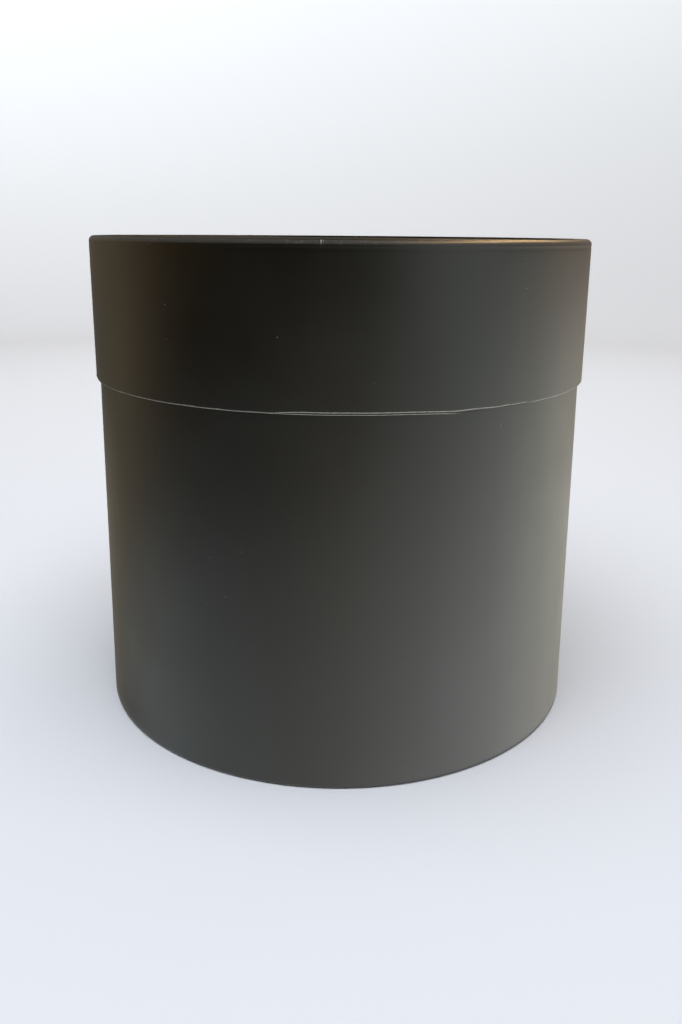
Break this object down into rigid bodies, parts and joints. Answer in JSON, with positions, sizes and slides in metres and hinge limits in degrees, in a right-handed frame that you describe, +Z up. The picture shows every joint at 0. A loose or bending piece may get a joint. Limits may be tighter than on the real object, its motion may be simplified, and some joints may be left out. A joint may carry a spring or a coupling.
{
  "type": "flower box",
  "caption": "Round, straight-sided black paperboard flower box with a deep lift-off lid, rolled rims, turned-in paper edges and a waterproof liner inside.",
  "frame": {"origin": "on the box's axis, in the plane the foot rests on", "axes": "+Z up along the box's axis, the way the lid lifts; -Y is the front and +Y the back, where the wraps' overlap seams are"},
  "size_m": [0.2, 0.2, 0.19],
  "materials": {
    "black_wrap_paper": "satin",
    "black_lining_paper": "matte",
    "greyboard": "matte",
    "liner_plastic": "gloss"
  },
  "bodies": {
    "body": {"body_tube": "greyboard", "body_wrap": "black_wrap_paper", "body_lining": "black_lining_paper", "base_disc": "greyboard", "base_underside_paper": "black_wrap_paper", "base_floor_paper": "black_lining_paper", "waterproof_liner": "liner_plastic"},
    "lid": {"lid_tube": "greyboard", "lid_wrap": "black_wrap_paper", "lid_lining": "black_lining_paper", "lid_disc": "greyboard", "lid_top_paper": "black_wrap_paper", "lid_ceiling_paper": "black_lining_paper"}
  },
  "joints": [
    {"name": "lid_lift", "type": "slide", "parent": "body", "child": "lid", "axis": [0, 0, 1], "range_m": [0, 0.12]}
  ]
}
